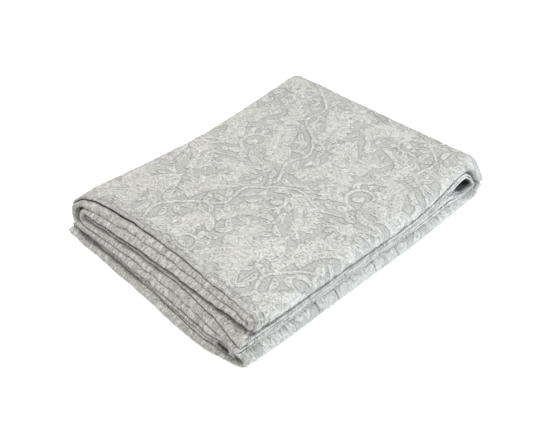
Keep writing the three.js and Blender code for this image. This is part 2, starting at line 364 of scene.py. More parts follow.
def lay_sheet(piece, f, at, settings):
    """A flat sheet of the compound: its place along X, and how far it is from the middle"""
    s, n, y, level, ny, nz, panel = at
    _, edge_name, side, reach, outward, to_fold = piece
    u = (f if to_fold else 1 - f) * SHEET_RUN
    if edge_name == "near_fold":
        puff = puffed(s) * bell(u / FOLD_RUN)
        rise = INNER * (1 + settings.fold_swell * puff) + n
        q = -PITCH + FOLD_LIFT * puff - outward * rise
    else:
        more = HEM_TURN_SWELL * bell((s - FRONT_TURN) / HEM_TURN_RUN)
        plump = 1 + uneven(s, PLUMP, SEEDS["plump_hem"])
        swell = (settings.hem_swell * plump + more) * bell(u / HEM_RUN)
        q = side * (reach - HEM_DROOP * bell(u / HEM_RUN) + outward * n * (1 + swell))
    y_here, level_here = y + q * ny, level + q * nz / PANEL_PITCH
    near = end_at(OPEN_ENDS, y_here, level_here, panel) + hem_wave(edge_name, s)
    near = near + (INNER if edge_name == "near_fold" else 0)
    far = end_at(FOLDED_ENDS, y_here, level_here, panel) - HALF_COMPOUND
    x = np.where(
        u < NEAR_RUN,
        mix(near, NEAR_STOP, u / NEAR_RUN),
        np.where(
            u > SHEET_RUN - FAR_RUN,
            mix(far, FAR_STOP, (SHEET_RUN - u) / FAR_RUN),
            NEAR_STOP + u - NEAR_RUN,
        ),
    )
    x -= HOLLOW_BACK * flared(s, panel) * smooth((u - SHEET_RUN + HOLLOW_RUN) / HOLLOW_RUN)
    return x, q, 1.0 if side > 0 else 0.0


def lay_turn(piece, f, at, settings):
    """A wrap at the folded end or the near fold: the same three values as for a sheet"""
    s, n, y, level, ny, nz, panel = at
    a = math.pi * f
    if piece[0] == "near_fold":
        radius = INNER * (1 + settings.fold_swell * puffed(s)) + n
        q = -PITCH + FOLD_LIFT * puffed(s) - radius * np.cos(a)
        near = end_at(OPEN_ENDS, y + q * ny, level + q * nz / PANEL_PITCH, panel)
        return near + hem_wave("near_fold", s) + INNER - radius * np.sin(a), q, 0.0
    outer = piece[0] == "outer_wrap"
    way = 1 if outer else -1
    radius = OUTER + n if outer else INNER - n
    q = way * radius * np.cos(a)
    y_here = y + q * ny
    far = end_at(FOLDED_ENDS, y_here, level + q * nz / PANEL_PITCH, panel) - HALF_COMPOUND
    # The wraps are squarer at the front corner, where they are pressed together
    pressed = smooth((FRONT + PRESSED_WIDTH - y_here) / PRESSED_REACH) * (panel != 3)
    bulge = np.abs(np.sin(a)) ** (1 - PRESSED * pressed)
    flare = flared(s, panel)
    x = far - HOLLOW_BACK * flare + (radius + HOLLOW_REACH * flare) * bulge
    return x, q, 0.5 + 0.5 * way * np.cos(a)


def fold(s, t, n, settings):
    """Folds the flat cloth: s across it, t along it, n from its middle towards its outer face"""
    y, level, ny, nz, panel = section_at(s)
    x, q, over = np.zeros_like(s), np.zeros_like(s), np.zeros_like(s)
    which = np.clip(np.searchsorted(T_STARTS, t, side="right") - 1, 0, len(ALONG) - 1)
    for k, piece in enumerate(ALONG):
        m = which == k
        if not m.any():
            continue
        f = (t[m] - T_STARTS[k]) / (T_STARTS[k + 1] - T_STARTS[k])
        lay = lay_sheet if piece[0] == "sheet" else lay_turn
        at = [values[m] for values in (s, n, y, level, ny, nz, panel)]
        x[m], q[m], over[m] = lay(piece, f, at, settings)
    y, level = y + q * ny, level + q * nz / PANEL_PITCH
    over = np.where(panel == 3, over, level > 2.5)
    return settle(x, y, level, over, panel, settings)


# The woven figure, a leafy trail, in millimetres: one repeat along the cloth and across it
REPEAT = (190.0, 172.0)
RASTER = 0.8
VOID = 9.0  # the farthest that the distance fields tell
# Each lobed leaf: its foot, its tip, the bow of its rib, its leaflets on a side and their reach
FRONDS = (
    ((24, 20), (70, 66), 0.28, 7, 24),
    ((150, 58), (104, 20), 0.3, 7, 24),
    ((118, 160), (66, 128), -0.3, 7, 25),
    ((60, 150), (16, 118), 0.3, 6, 20),
    ((176, 108), (142, 158), -0.3, 7, 22),
    ((84, 84), (124, 100), -0.35, 6, 17),
    ((14, 6), (52, -20), -0.25, 6, 19),
)
# Each stem: the places it runs through, and its half width
STEMS = (
    (
        ((-12, 6), (0, 10), (28, 24), (56, 14), (86, 34), (112, 66), (148, 62), (172, 84),
         (190, 76), (202, 70)),
        2.6,
    ),
    (((172, 84), (186, 112), (176, 150), (186, 180)), 2.2),
)
# Each curl: its middle, radius, first angle, turns, way round, leaves and their length
CURLS = (((36, 84), 23, 3.3, 1.15, -1, 9, 19), ((150, 104), 17, 0.4, 1.05, 1, 8, 15))
# Each fan: its foot, radius, first and last angle, petals and their width
FANS = (((178, 22), 30, 1.2, 4.4, 9, 3.4), ((92, 112), 25, 0.2, 2.9, 8, 3.0))
# Each loose leaf: its foot, its tip, the bow of its rib and its half width
LEAVES = (
    ((66, 92), (84, 56), 0.3, 6),
    ((6, 46), (18, 76), 0.3, 5),
    ((128, 128), (118, 108), 0.3, 4.5),
    ((70, 18), (92, 6), -0.3, 5),
)
# Small leaves fill the widest places left: how many at most, and the least and most room for one
SMALL_LEAVES, LEAST_ROOM, MOST_ROOM = 90, 5.4, 8.0


def bowed(a, b, bow, count=14):
    """A line from a to b that bows sideways"""
    a, b = np.array(a, float), np.array(b, float)
    f = np.linspace(0, 1, count)
    side = np.array([-(b - a)[1], (b - a)[0]]) * bow
    middle = (a + b) / 2 + side
    return np.outer((1 - f) ** 2, a) + np.outer(2 * f * (1 - f), middle) + np.outer(f**2, b)


def leaf(a, b, bow, width, rise=0.85, vein=True, fat=0.42):
    """One leaf: its rib, its half width along the rib, its height, and whether it has a vein"""
    f = np.linspace(0, 1, 14)
    swell = np.sin(math.pi * f ** (math.log(0.5) / math.log(fat)))
    return bowed(a, b, bow), width * np.clip(swell, 0, 1) ** 0.8 + 0.35, rise, vein


def along_line(line, f):
    """A place on a line and the way the line runs there"""
    i = f * (len(line) - 1)
    k = min(int(i), len(line) - 2)
    ahead = line[k + 1] - line[k]
    return mix(line[k], line[k + 1], i - k), ahead / np.linalg.norm(ahead)


def frond(a, b, bow, lobes, reach):
    """A broad lobed leaf: overlapping leaflets on both sides of a rib, from its tip to its foot"""
    slim = 0.3
    rib = bowed(a, b, bow, 40)
    strokes = []
    for k in range(lobes):
        f = 0.9 - 0.84 * k / (lobes - 1)
        at, ahead = along_line(rib, f)
        aside = np.array([-ahead[1], ahead[0]])
        fullness = math.sin(math.pi * 0.62 * min(1, 0.25 + 0.75 * (1 - f)))
        size = reach * (0.42 + 0.58 * fullness)
        for way in (1, -1):
            tip = at + (ahead * 0.95 + way * aside * 0.85) * size
            strokes.append(leaf(at, tip, -0.3 * way, size * slim, 0.8))
    at, ahead = along_line(rib, 0.93)
    tip = at + ahead * reach * 0.62
    strokes.append(leaf(at - ahead * 6, tip, bow * 0.4, reach * slim * 0.6))
    return strokes + [(rib, np.linspace(2.2, 0.9, 40), 1.0, False)]


def stem(points, width):
    """A round stem that runs smoothly through a few places"""
    points = np.array(points, float)
    run = np.r_[0, np.cumsum(np.hypot(*np.diff(points, axis=0).T))]
    at = np.linspace(0, run[-1], 60)
    line = np.stack([curve(run, points[:, i], at) for i in (0, 1)], 1)
    return line, np.full(60, width), 1.0, False


def curl(centre, radius, start, turns, way, leaves, length):
    """A curling stem with leaves along its outer side and a bud at its heart"""
    strokes = []
    centre = np.array(centre)
    turned = np.linspace(0, turns * 2 * math.pi, 60)
    r = radius * (1 - 0.82 * (turned / turned[-1]) ** 0.9)
    angle = start + way * turned
    line = centre + np.stack([r * np.cos(angle), r * np.sin(angle)], 1)
    for k in range(leaves):
        at, ahead = along_line(line, 0.02 + 0.8 * k / leaves)
        out = (at - centre) / np.linalg.norm(at - centre)
        size = length * (1 - 0.55 * k / leaves)
        tip = at + (ahead * 0.95 + out * 0.75) * size
        strokes.append(leaf(at, tip, -0.32 * way, size * 0.29, fat=0.45))
    strokes.append((line, np.interp(turned, [0, turned[-1]], [3.0, 1.4]), 1.0, False))
    ahead = np.array([math.cos(angle[-1]), math.sin(angle[-1])])
    bud = leaf(line[-1] - ahead * 3, line[-1] + ahead * 9, 0.2, 5.5, 1.0, False, 0.35)
    return strokes + [bud]


def fan(foot, radius, start, end, petals, width):
    """A half round fan of slim petals over a bud"""
    strokes = []
    foot = np.array(foot, float)
    for ring, share in ((0, 1.0), (1, 0.68)):
        for k in range(petals):
            a = mix(start, end, (k + 0.5 * ring) / (petals - 1 + ring))
            ray = np.array([math.cos(a), math.sin(a)]) * radius
            inner, tip = foot + ray * 0.3 * (1 - ring), foot + ray * share
            slim = width * (1 - 0.25 * ring)
            strokes.append(leaf(inner, tip, 0.06, slim, 0.75 + 0.1 * ring, True, 0.66))
    ray = np.array([math.cos((start + end) / 2), math.sin((start + end) / 2)]) * radius
    bud = leaf(foot - ray * 0.12, foot + ray * 0.38, 0.0, radius * 0.17, 1.0, False, 0.4)
    return strokes + [bud]


def figure():
    """One repeat of the woven figure, as strokes: later ones lie over earlier ones"""
    strokes = []
    for row in FRONDS:
        strokes += frond(*row)
    strokes += [stem(*row) for row in STEMS]
    for draw, rows in ((curl, CURLS), (fan, FANS)):
        for row in rows:
            strokes += draw(*row)
    return strokes + [leaf(*row) for row in LEAVES]


class Relief:
    """The woven figure on a raster of two repeats, the second turned over and half a drop on"""

    def __init__(self):
        self.shape = (round(2 * REPEAT[0] / RASTER), round(REPEAT[1] / RASTER))
        self.edge = np.full(self.shape, VOID)  # to the nearest outline, below 0 inside a leaf
        self.vein = np.full(self.shape, VOID)  # to the leaf's rib
        self.nerve = np.zeros(self.shape)  # counts along the side veins
        self.rise = np.zeros(self.shape)
        long, wide = REPEAT
        for turned in (False, True):
            for rib, half, rise, vein in figure():
                if turned:
                    rib = np.stack([rib[:, 0] + long, wide * 1.5 - rib[:, 1]], 1)
                self.stamp(rib, half, rise, vein)
        self.fill()

    def stamp(self, rib, half, rise, vein):
        """Lays one stroke over what is there"""
        room = half.max() + VOID
        low = np.floor((rib.min(0) - room) / RASTER).astype(int)
        high = np.ceil((rib.max(0) + room) / RASTER).astype(int)
        gi, gj = np.meshgrid(*(np.arange(a, b) for a, b in zip(low, high)), indexing="ij")
        gx, gy = gi * RASTER, gj * RASTER
        edge = np.full(gx.shape, 1e9)
        away, width, run, walked = edge, edge, edge, 0.0
        for (ax, ay), (bx, by), wa, wb in zip(rib, rib[1:], half, half[1:]):
            dx, dy = bx - ax, by - ay
            f = np.clip(((gx - ax) * dx + (gy - ay) * dy) / (dx * dx + dy * dy + 1e-9), 0, 1)
            d = np.hypot(gx - ax - f * dx, gy - ay - f * dy)
            w = mix(wa, wb, f)
            step = math.hypot(dx, dy)
            nearer = d - w < edge
            pairs = ((d - w, edge), (d, away), (w, width), (walked + f * step, run))
            edge, away, width, run = (np.where(nearer, new, old) for new, old in pairs)
            walked += step
        place = (gi % self.shape[0], gj % self.shape[1])
        inside = edge < 0
        old = self.edge[place]
        outside = np.where(old > 0, np.minimum(old, edge), np.maximum(old, -edge))
        self.edge[place] = np.where(inside, edge, outside)
        body = rise * (0.55 + 0.45 * np.sqrt(np.clip(1 - (away / width) ** 2, 0, 1)))
        rib_distance = away if vein else VOID
        news = ((self.vein, rib_distance), (self.nerve, run + away * 0.9), (self.rise, body))
        for field, new in news:
            field[place] = np.where(inside, new, field[place])

    def fill(self):
        """Puts small leaves into the widest places left between the large ones"""
        chance = np.random.default_rng(SEEDS["small_leaves"])
        for _ in range(SMALL_LEAVES):
            widest = np.argmax(self.edge + 0.3 * chance.random(self.shape))
            i, j = np.unravel_index(widest, self.shape)
            room = self.edge[i, j]
            if room < LEAST_ROOM:
                break
            room = min(room, MOST_ROOM)
            a = chance.uniform(0, 2 * math.pi)
            ray = np.array([math.cos(a), math.sin(a)]) * room * 1.25
            middle = np.array([i, j]) * RASTER
            bow = chance.choice([-0.35, 0.35])
            self.stamp(*leaf(middle - ray, middle + ray, bow, room * 0.5, 0.75))

    def sample(self, field, t, s):
        """Reads a field of the repeating raster at places in millimetres"""
        u, v = t / RASTER, s / RASTER
        i, j = np.floor(u).astype(int), np.floor(v).astype(int)
        long, wide = self.shape
        i0, j0, i1, j1 = i % long, j % wide, (i + 1) % long, (j + 1) % wide
        near = mix(field[i0, j0], field[i1, j0], u - i)
        return mix(near, mix(field[i0, j1], field[i1, j1], u - i), v - j)


# How the figure shows in the cloth, in millimetres
FIGURE_START, FIGURE_RUN = 5.0, 9.0  # it fades in behind the edges at the open end
LEAF_SHOULDER = 1.6
GROOVE_WIDTH, GROOVE_DEPTH = 1.2, 0.25
LOWER_SHARE = 0.35  # on the lower turn the cloth is stretched, and shows less relief
PUCKERS = ((4.2, 0.16, 0), (11.0, 0.2, 1))  # width, height and seed step
NUB_WIDTH, NUB_LENGTH, NUB_HEIGHT = 4.5, 1.8, 0.28
SLANTED_NUB_WIDTH, SLANTED_NUB_HEIGHT = 9.0, 0.2
# How dark the places are that no light reaches, and how far behind an edge that begins
TURNED_DARK, CREASE_DARK = 0.75, 0.6
DARK_START, RIM_ENTRIES = 9.0, (22.0, 8.0)
RIM_SHADE, MOUTH_SHADE = (14.0, 6.0), (7.0, 5.0)

# Where the cloth is cut: fine beside its edges, and as fine as each part needs to show its
# folds, all in millimetres
EDGE_STOPS = (0.0, 2.4, 4.5, 8.0, 14.0)
WRAP_STOPS = (12.0, 5.0, 0.0)
WIDE_TURN_STEP, TURN_STEP = 5.0, 2.8
TOP_STEP, HIDDEN_STEP = 7.1, 14.2
OUTER_WRAP_STEP, INNER_TURN_STEP = 1.6, 0.85
FIRST_SHEET_STEP, HIDDEN_SHEET_STEP = 28.2, 90.0
# Then the edges of these parts are cut again
SHOWN_STEP = 1.8  # the top panel and the turns beside it
SHOWN_KEEP = 2.9  # an edge up to this long stays whole there
MOUTH_STEP, MOUTH_REACH = 2.6, 12.5
WRAP_STEP = 3.8
RIM_STEP, RIM_REACH = 7.0, 15.0
LOWER_TURN_STEP, CREASED_STEP, CREASED_REACH = 3.6, 1.2, 6.0
WRAP_MARGIN, LOWER_MARGIN = 8.0, 13.0  # how far past its ends such a part is cut
UNDERSIDE_STEP = 5.0


def steps(start, end, most):
    """Even stops from start to end, no more than a given step apart, without the last"""
    count = max(1, math.ceil(abs(end - start) / most - 1e-6))
    return [mix(start, end, i / count) for i in range(count)]


def across_stops():
    """Stops across the cloth"""
    margin = EDGE_STOPS[-1]
    stops = []
    for k, piece in enumerate(SECTION):
        start, end = S_STARTS[k], S_STARTS[k + 1]
        if piece[0] == "turn":
            most = WIDE_TURN_STEP if piece[3] > 1 else TURN_STEP
        else:
            most = TOP_STEP if piece[3] == 4.5 else HIDDEN_STEP
        if k == 0:
            stops += EDGE_STOPS[:-1]
            start += margin
        if k == len(SECTION) - 1:
            stops += steps(start, end - margin, most)
            stops += [end - d for d in EDGE_STOPS[:0:-1]]
        else:
            stops += steps(start, end, most)
    return stops + [CLOTH[0]]


def along_stops():
    """Stops along the cloth"""
    margin = EDGE_STOPS[-1]
    stops = []
    for k, piece in enumerate(ALONG):
        start, end = T_STARTS[k], T_STARTS[k + 1]
        if piece[0] != "sheet":
            outer = piece[0] == "outer_wrap"
            stops += steps(start, end, OUTER_WRAP_STEP if outer else INNER_TURN_STEP)
            continue
        most = FIRST_SHEET_STEP if k == 0 else HIDDEN_SHEET_STEP
        run = SHEET_RUN - margin - WRAP_STOPS[0]
        row = list(EDGE_STOPS) + [margin + d for d in steps(0, run, most)[1:]]
        row += [SHEET_RUN - d for d in WRAP_STOPS]
        row = [start + d for d in row] if piece[5] else [end - d for d in reversed(row)]
        stops += row[:-1]
    return stops + [CLOTH[1]]


def near_distance(t):
    """How far a place along the cloth is from the next edge at the open end"""
    return np.abs(np.asarray(t)[..., None] - np.array(OPEN_EDGES)).min(-1)


def crease_distance(s, t):
    """How far a place on the lower panels' turn is from the next crease"""
    x = T_STARTS[3] - np.asarray(t) + NEAR_STOP - NEAR_RUN
    leant = x + CREASE_LEAN * (np.asarray(s) - S_STARTS[2])
    return np.abs(leant[..., None] - np.array(CREASES)).min(-1)


def cut_again(a, b):
    """How many parts an edge of the flat cloth is cut into, from its two ends"""
    s, t = (a.x + b.x) / 2, (a.y + b.y) / 2
    long, wide = abs(a.y - b.y), abs(a.x - b.x)
    length = max(long, wide)
    outside = min(a.z, b.z) > 0.9
    lower_sheet = outside and T_STARTS[2] < t < T_STARTS[3]
    near = near_distance(t)
    whole, most = length, math.inf
    if outside and S_STARTS[3] - 1 < s < S_STARTS[6] + 1 and t < T_STARTS[2] + 0.1:
        most = SHOWN_STEP if length > SHOWN_KEEP else math.inf
    elif lower_sheet and s < S_STARTS[1] and near > EDGE_STOPS[-1]:
        most = UNDERSIDE_STEP
    elif wide > 0 and near < MOUTH_REACH and (outside or near < 1.3):
        whole, most = wide, MOUTH_STEP
    elif wide > 0 and outside and T_STARTS[1] - WRAP_MARGIN < t < T_STARTS[2] + WRAP_MARGIN:
        whole, most = wide, WRAP_STEP
    elif long > 0 and s > CLOTH[0] - RIM_REACH:
        whole, most = long, RIM_STEP
    elif lower_sheet and S_STARTS[1] - LOWER_MARGIN < s < S_STARTS[2] + LOWER_MARGIN:
        smooth_here = long == 0 or crease_distance(s, t) > long / 2 + CREASED_REACH
        most = LOWER_TURN_STEP if smooth_here else CREASED_STEP
    return max(1, math.ceil(whole / most - 1e-3))


def refine(bm, wanted):
    """Cuts each edge into the number of parts that it wants"""
    for axis in (1, 0, 2):
        groups = {}
        for e in bm.edges:
            a, b = e.verts[0].co, e.verts[1].co
            d = b - a
            if abs(d[axis]) < max(abs(d[k]) for k in range(3)):
                continue
            parts = wanted(a, b)
            if parts > 1:
                groups.setdefault(parts, []).append(e)
        for parts, edges in sorted(groups.items()):
            bmesh.ops.subdivide_edges(bm, edges=edges, cuts=parts - 1, use_grid_fill=True)


def cut_cloth(bm):
    """The cloth lying flat: x across it, y along it and z from -1 to 1 through it"""
    s, t = across_stops(), along_stops()
    bmesh.ops.create_grid(bm, x_segments=len(s) - 1, y_segments=len(t) - 1, size=0.5)
    for v in bm.verts:
        i = round((v.co.x + 0.5) * (len(s) - 1))
        j = round((v.co.y + 0.5) * (len(t) - 1))
        v.co = (s[i], t[j], 1.0)
    lower = bmesh.ops.extrude_face_region(bm, geom=bm.faces[:], use_keep_orig=True)["geom"]
    for v in lower:
        if isinstance(v, bmesh.types.BMVert):
            v.co.z = -1.0
    # The rim's round edge has four parts
    refine(bm, lambda a, b: 4 if abs(a.z - b.z) > 1 else 1)
    refine(bm, cut_again)
    bmesh.ops.triangulate(bm, faces=[f for f in bm.faces if len(f.verts) > 4])


def creasing(s, t, n):
    """1 along the creases of the lower turn, and soon nothing beside them"""
    bottom = (t > T_STARTS[2]) & (t < T_STARTS[4])
    across = smooth((s - LOWER_TURN + 5) / 5) * smooth((S_STARTS[2] + 5 - s) / 5)
    line = bell(crease_distance(s, t) / CREASE_WIDTH)
    return line * across * bottom * (n > 0.5)


def surface_rise(s, t, near, fields, relief):
    """How far the outer face rises over the plain cloth: the figure, its puckers and the nubs"""
    top = (t < T_STARTS[2]) & (s > S_STARTS[3] - 6) & (s < S_STARTS[6] + 6)
    bottom = (t > T_STARTS[2]) & (t < T_STARTS[4]) & (s > S_STARTS[1] - 6) & (s < S_STARTS[2] + 6)
    free = np.where(top, 1.0, np.where(bottom, LOWER_SHARE, 0.0))
    leaves = fields["rise"] * smooth(-fields["edge"] / LEAF_SHOULDER)
    raised = leaves - GROOVE_DEPTH * bell(fields["edge"] / GROOVE_WIDTH)
    pucker = sum(
        height * lumps(s / width, t / width, SEEDS["pucker"] + k) for width, height, k in PUCKERS
    )
    nubs = NUB_HEIGHT * lumps(s / NUB_WIDTH, t / NUB_LENGTH, SEEDS["nub"])
    u, v = (s + 2 * t) / SLANTED_NUB_WIDTH, (s - 2 * t) / SLANTED_NUB_WIDTH
    nubs = nubs + SLANTED_NUB_HEIGHT * lumps(u, v, SEEDS["slanted_nub"])
    shown = figure_shown(near)
    return free * shown * (raised * relief + pucker) + (1 - shown) * nubs


def figure_shown(near):
    """0 at the edges of the open end, where the hems hide the figure, and 1 behind them"""
    return smooth((near - FIGURE_START) / FIGURE_RUN)


def painted_shade_between_sheets(s, t, n, near):
    """How much painted shade a place of the cloth gets: inside its folds and between its edges"""
    # Faces that look into the hollow of a folded compound get painted shade, past its mouth
    in_hollow = (n > 0.5) & (t > T_STARTS[4]) & (near > DARK_START) & (s < CLOTH[0] - 0.5)
    entry = smooth((CLOTH[0] - s - 1) / np.where(t < T_STARTS[5], *RIM_ENTRIES))
    painted_shade = np.where(in_hollow, np.where(s > S_STARTS[8], entry, 1.0), 0.0)
    # So does the side of a rim or hem that is turned to the next sheet
    turned_in = smooth((-0.35 - n) / 0.5)
    at_rim = smooth((s - CLOTH[0] + RIM_SHADE[0]) / RIM_SHADE[1])
    at_mouth = smooth((MOUTH_SHADE[0] - near) / MOUTH_SHADE[1])
    return np.maximum(painted_shade, TURNED_DARK * turned_in * np.maximum(at_rim, at_mouth))


def painted_shade_in_pockets(x, y, z):
    """Painted shade inside the small pockets at the open end: 1 inside them, fading out towards
    their lips
    """
    dark = np.zeros_like(x)
    for middle, height, radius, reach in POCKETS:
        away = np.hypot((y - middle) / POCKET_STRETCH, z - height)
        inside = smooth((1.3 * radius - away) / radius * 3.5)
        # The painted shade fades in just behind the lips, so that the lips are not darkened
        shade_past_lips = smooth((x - POCKET_MOUTH + 10) / 5.5)
        dark = np.maximum(dark, inside * shade_past_lips * (x < reach + POCKET_MOUTH))
    return dark


def fold_cloth(mesh, settings):
    """Folds the flat cloth's mesh, with its woven relief, hems and soft waves"""
    flat = np.empty(len(mesh.vertices) * 3)
    mesh.vertices.foreach_get("co", flat)
    s, t, n = flat.reshape(-1, 3).T.copy()
    relief = Relief()
    names = ("edge", "vein", "nerve", "rise")
    fields = {name: relief.sample(getattr(relief, name), t, s) for name in names}
    near = near_distance(t)
    creased = creasing(s, t, n)
    rise = surface_rise(s, t, near, fields, settings.relief * 1000)
    # The rim is a half circle: it draws in as it turns through the cloth
    angle = n * math.pi / 2
    through = np.where(np.abs(n) < 0.99, np.sin(angle), np.sign(n))
    drawn = THICK / 2 * (1 - np.cos(angle))
    s_in = np.where(s < 1, drawn, np.where(s > CLOTH[0] - 1, -drawn, 0))
    t_in = np.where(t < 1, drawn, np.where(t > CLOTH[1] - 1, -drawn, 0))
    outside = smooth((n - 0.2) / 0.6)
    depth = THICK / 2 * through + outside * rise - CREASE_DEPTH * creased
    x, y, z = fold(s + s_in, t + t_in, depth, settings)
    place = np.stack([x - MIDDLE[0], y - MIDDLE[1], z], 1) / 1000
    mesh.vertices.foreach_set("co", place.ravel())

    # Painted shade: in the hollows of the folds, on the sides of rims and hems turned to the next
    # sheet, along the creases of the lower turn and, below, in the pockets
    painted_shade = np.maximum(painted_shade_between_sheets(s, t, n, near), CREASE_DARK * creased)
    shown = figure_shown(near)
    painted = {
        "edge": mix(-2.2, fields["edge"], shown),
        "vein": mix(VOID, fields["vein"], shown),
        "nerve": fields["nerve"] * shown,
        "mouth": 1 - smooth((near - 10) / 10),
        "painted_shade": np.maximum(painted_shade, painted_shade_in_pockets(x, y, z)),
    }
    for name, values in painted.items():
        attribute = mesh.attributes.new(name, "FLOAT", "POINT")
        attribute.data.foreach_set("value", values.astype(np.float32))
    uv = mesh.uv_layers.new(name="cloth")
    loops = np.empty(len(mesh.loops), int)
    mesh.loops.foreach_get("vertex_index", loops)
    on_cloth = np.stack([s, t], 1)[loops] / 1000
    uv.data.foreach_set("uv", on_cloth.astype(np.float32).ravel())
    mesh.update()


def linear(code):
    """An sRGB hex value as a linear colour"""
    parts = [int(code[i : i + 2], 16) / 255 for i in (1, 3, 5)]
    return [c / 12.92 if c <= 0.04045 else ((c + 0.055) / 1.055) ** 2.4 for c in parts] + [1.0]


def node(tree, kind, settings=None, out=0, **inputs):
    """Adds a node with its settings, sets or links its inputs, and gives one of its outputs"""
    made = tree.nodes.new("ShaderNode" + kind)
    for name, value in (settings or {}).items():
        setattr(made, name, value)
    for name, value in inputs.items():
        # An input has its name, with _ for a space, or its number after an i
        key = int(name[1:]) if name[1:].isdigit() else name.replace("_", " ")
        if isinstance(value, bpy.types.NodeSocket):
            tree.links.new(value, made.inputs[key])
        else:
            made.inputs[key].default_value = value
    return made.outputs[out] if made.outputs else None


def new_material(name):
    """An empty material and its node tree"""
    material = bpy.data.materials.new(name)
    material.use_nodes = True
    material.node_tree.nodes.clear()
    return material, material.node_tree


SOFT = {"interpolation_type": "SMOOTHSTEP"}
TIMES = {"operation": "MULTIPLY"}
TIMES_PLUS = {"operation": "MULTIPLY_ADD"}
# Unevenness of the washed cotton: how wide its lumps are in millimetres, and their detail.
# Threads about 0.5 mm apart are too fine to show, so fuzz and slubs are drawn coarser.
MOTTLES = {
    "slub": (3.2, 1.0),
    "fuzz": (1.9, 1.0),
    "broken": (5.0, 1.0),
    "pucker": (8.0, 1.0),
    "drawn_in": (16.0, 1.0),
    "cloud": (70.0, 2.0),
}
RIB_WIDTH, RIB_LENGTH = 3.6, 5.2  # the knobs along the edges at the open end
STITCHES = {"side_vein": 5.2, "echo": 4.2}  # from one row of stitches to the next
WAVER = 0.9  # how far the puckered weave draws the outlines in
# How much each pattern lightens or darkens the cloth, and how many millimetres it raises it. The
# darker grooves, veins and stitch rows are painted shade in the dents that the bump also sinks
# there. At the open end, mouth darkens the cloth and knob lightens its knobs again, which paints
# shade into the gaps between them. Slub and fuzz lighten the cloth where they raise it: this is
# partly the cotton's own mottling and partly painted shade in its low places.
TONE = {
    "slub": 0.1, "fuzz": 0.16, "cloud": 0.12, "groove": -0.15, "vein": -0.12,
    "side_vein": -0.14, "echo": -0.12, "knob": 0.24, "mouth": -0.25,
}
PLAIN_TONE = 0.65
HEIGHT = {
    "inside": 0.7, "groove": -0.8, "vein": -0.6, "side_vein": -0.6, "echo": -0.5,
    "slub": 0.4, "pucker": 1.0, "fuzz": 0.45, "knob": 1.1,
}


